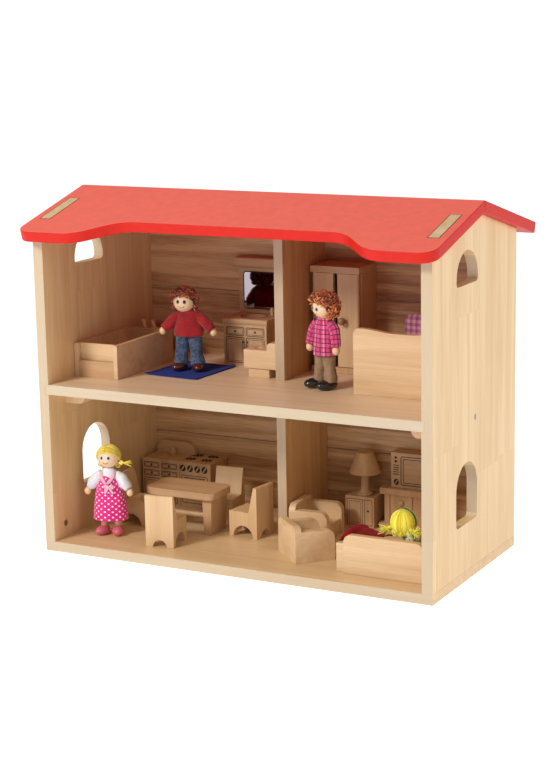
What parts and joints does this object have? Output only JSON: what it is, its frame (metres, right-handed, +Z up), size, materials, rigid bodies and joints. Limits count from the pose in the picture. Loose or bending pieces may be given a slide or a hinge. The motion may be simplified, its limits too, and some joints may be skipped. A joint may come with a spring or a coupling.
{
  "type": "dollhouse",
  "caption": "Two-storey wooden dollhouse with an open front and a curved red roof, furnished with block furniture, soft pieces and posable-looking cloth dolls",
  "frame": {"origin": "under the middle of the bounding box, on the ground the base board rests on", "axes": "+X runs to the right along the front, +Y from the open front to the back, +Z up"},
  "size_m": [0.528, 0.312, 0.431],
  "materials": {
    "base_board_wood": "clear satin lacquer on rubberwood",
    "wall_wood": "clear satin lacquer on rubberwood",
    "upper_floor_wood": "clear satin lacquer on rubberwood",
    "back_plank_wood": "clear satin lacquer on pine planks",
    "cleat_wood": "clear satin lacquer",
    "roof_paint": "satin red paint on wood",
    "fastener_steel": "zinc plated",
    "furniture_wood": "smooth sanded, with thin burnt lines for the details",
    "pale_furniture_wood": "smooth sanded",
    "knob_wood": "turned and oiled",
    "mirror_face": "polished foil with a dark edge",
    "mat_felt": "blue felt",
    "blanket_felt": "red felt",
    "pillow_cloth": "pink and purple gingham",
    "red_shirt_cloth": "red checked cotton with blue denim",
    "plaid_shirt_cloth": "pink plaid cotton with tan trousers",
    "dotted_dress_cloth": "hot pink cotton with white dots",
    "girl_dress_cloth": "printed cotton under yellow yarn hair"
  },
  "bodies": {
    "house": {"floor_board": "base_board_wood", "left_wall": "wall_wood", "right_wall": "wall_wood", "upper_floor": "upper_floor_wood", "lower_partition": "wall_wood", "upper_partition": "wall_wood", "back_plank_1": "back_plank_wood", "back_plank_2": "back_plank_wood", "back_plank_3": "back_plank_wood", "back_plank_4": "back_plank_wood", "front_roof_panel": "roof_paint", "back_roof_panel": "roof_paint", "shelf_cleats": "cleat_wood", "wall_fasteners": "fastener_steel"},
    "bathtub": {"bathtub_sides": "furniture_wood", "bathtub_ends": "furniture_wood", "bathtub_liner": "pale_furniture_wood", "bathtub_taps": "pale_furniture_wood"},
    "bath_mat": {"bath_mat": "mat_felt"},
    "red_shirt_doll": {"red_shirt_doll": "red_shirt_cloth"},
    "vanity": {"vanity_cabinet": "furniture_wood", "vanity_counter": "furniture_wood", "vanity_mirror_board": "furniture_wood", "vanity_mirror": "mirror_face", "vanity_canopy": "furniture_wood", "vanity_tap": "pale_furniture_wood"},
    "toilet": {"toilet_body": "pale_furniture_wood", "toilet_pedestal": "pale_furniture_wood"},
    "wardrobe": {"wardrobe_case": "furniture_wood", "wardrobe_cornice": "furniture_wood", "wardrobe_hinge_pins": "fastener_steel"},
    "wardrobe_left_leaf": {"wardrobe_left_door": "pale_furniture_wood", "wardrobe_left_knob": "knob_wood"},
    "wardrobe_right_leaf": {"wardrobe_right_door": "pale_furniture_wood", "wardrobe_right_knob": "knob_wood"},
    "bed": {"bed_foot_board": "pale_furniture_wood", "bed_head_board": "pale_furniture_wood", "bed_base": "furniture_wood"},
    "bed_pillow": {"bed_pillow": "pillow_cloth"},
    "plaid_shirt_doll": {"plaid_shirt_doll": "plaid_shirt_cloth"},
    "kitchen_unit": {"kitchen_cabinet": "furniture_wood", "kitchen_fittings": "furniture_wood"},
    "table": {"table_top": "furniture_wood", "table_trestle": "furniture_wood"},
    "chair_1": {"chair_1": "pale_furniture_wood"},
    "chair_2": {"chair_2": "pale_furniture_wood"},
    "chair_3": {"chair_3": "pale_furniture_wood"},
    "chair_4": {"chair_4": "pale_furniture_wood"},
    "pink_dress_doll": {"pink_dress_doll": "dotted_dress_cloth"},
    "armchair_1": {"armchair_1": "pale_furniture_wood"},
    "armchair_2": {"armchair_2": "pale_furniture_wood"},
    "side_cabinet": {"side_cabinet": "furniture_wood"},
    "table_lamp": {"lamp_stand": "furniture_wood", "lamp_shade": "furniture_wood"},
    "television_bench": {"television_cabinet": "furniture_wood"},
    "television_set": {"television": "furniture_wood"},
    "sofa": {"sofa_frame": "furniture_wood", "sofa_seat": "furniture_wood"},
    "sofa_doll": {"sofa_doll": "girl_dress_cloth"},
    "red_blanket": {"red_blanket": "blanket_felt"}
  },
  "joints": [
    {"name": "bathtub_lift", "type": "slide", "parent": "house", "child": "bathtub", "axis": [0, 0, 1], "range_m": [0, 0.12]},
    {"name": "bath_mat_lift", "type": "slide", "parent": "house", "child": "bath_mat", "axis": [0, 0, 1], "range_m": [0, 0.04]},
    {"name": "red_shirt_doll_lift", "type": "slide", "parent": "bath_mat", "child": "red_shirt_doll", "axis": [0, 0, 1], "range_m": [0, 0.05]},
    {"name": "vanity_lift", "type": "slide", "parent": "house", "child": "vanity", "axis": [0, 0, 1], "range_m": [0, 0.045]},
    {"name": "toilet_lift", "type": "slide", "parent": "house", "child": "toilet", "axis": [0, 0, 1], "range_m": [0, 0.12]},
    {"name": "wardrobe_lift", "type": "slide", "parent": "house", "child": "wardrobe", "axis": [0, 0, 1], "range_m": [0, 0.045]},
    {"name": "wardrobe_left_hinge", "type": "hinge", "parent": "wardrobe", "child": "wardrobe_left_leaf", "pos_m": [0.0178, 0.0625, 0.2136], "axis": [0, 0, 1], "range_deg": [-70, 0]},
    {"name": "wardrobe_right_hinge", "type": "hinge", "parent": "wardrobe", "child": "wardrobe_right_leaf", "pos_m": [0.0736, 0.0625, 0.2136], "axis": [0, 0, 1], "range_deg": [0, 95]},
    {"name": "bed_lift", "type": "slide", "parent": "house", "child": "bed", "axis": [0, 0, 1], "range_m": [0, 0.045]},
    {"name": "bed_pillow_lift", "type": "slide", "parent": "bed", "child": "bed_pillow", "axis": [0, 0, 1], "range_m": [0, 0.05]},
    {"name": "plaid_shirt_doll_lift", "type": "slide", "parent": "house", "child": "plaid_shirt_doll", "axis": [0, 0, 1], "range_m": [0, 0.08]},
    {"name": "kitchen_unit_lift", "type": "slide", "parent": "house", "child": "kitchen_unit", "axis": [0, 0, 1], "range_m": [0, 0.1]},
    {"name": "table_lift", "type": "slide", "parent": "house", "child": "table", "axis": [0, 0, 1], "range_m": [0, 0.11]},
    {"name": "chair_1_lift", "type": "slide", "parent": "house", "child": "chair_1", "axis": [0, 0, 1], "range_m": [0, 0.11]},
    {"name": "chair_2_lift", "type": "slide", "parent": "house", "child": "chair_2", "axis": [0, 0, 1], "range_m": [0, 0.11]},
    {"name": "chair_3_lift", "type": "slide", "parent": "house", "child": "chair_3", "axis": [0, 0, 1], "range_m": [0, 0.11]},
    {"name": "chair_4_lift", "type": "slide", "parent": "house", "child": "chair_4", "axis": [0, 0, 1], "range_m": [0, 0.09]},
    {"name": "pink_dress_doll_lift", "type": "slide", "parent": "house", "child": "pink_dress_doll", "axis": [0, 0, 1], "range_m": [0, 0.06]},
    {"name": "armchair_1_lift", "type": "slide", "parent": "house", "child": "armchair_1", "axis": [0, 0, 1], "range_m": [0, 0.125]},
    {"name": "armchair_2_lift", "type": "slide", "parent": "house", "child": "armchair_2", "axis": [0, 0, 1], "range_m": [0, 0.125]},
    {"name": "side_cabinet_lift", "type": "slide", "parent": "house", "child": "side_cabinet", "axis": [0, 0, 1], "range_m": [0, 0.04]},
    {"name": "table_lamp_lift", "type": "slide", "parent": "side_cabinet", "child": "table_lamp", "axis": [0, 0, 1], "range_m": [0, 0.045]},
    {"name": "television_bench_lift", "type": "slide", "parent": "house", "child": "television_bench", "axis": [0, 0, 1], "range_m": [0, 0.04]},
    {"name": "television_set_lift", "type": "slide", "parent": "television_bench", "child": "television_set", "axis": [0, 0, 1], "range_m": [0, 0.045]},
    {"name": "sofa_lift", "type": "slide", "parent": "house", "child": "sofa", "axis": [0, 0, 1], "range_m": [0, 0.03]},
    {"name": "sofa_doll_lift", "type": "slide", "parent": "sofa", "child": "sofa_doll", "axis": [0, 0, 1], "range_m": [0, 0.04]},
    {"name": "red_blanket_lift", "type": "slide", "parent": "sofa_doll", "child": "red_blanket", "axis": [0, 0, 1], "range_m": [0, 0.02]}
  ]
}
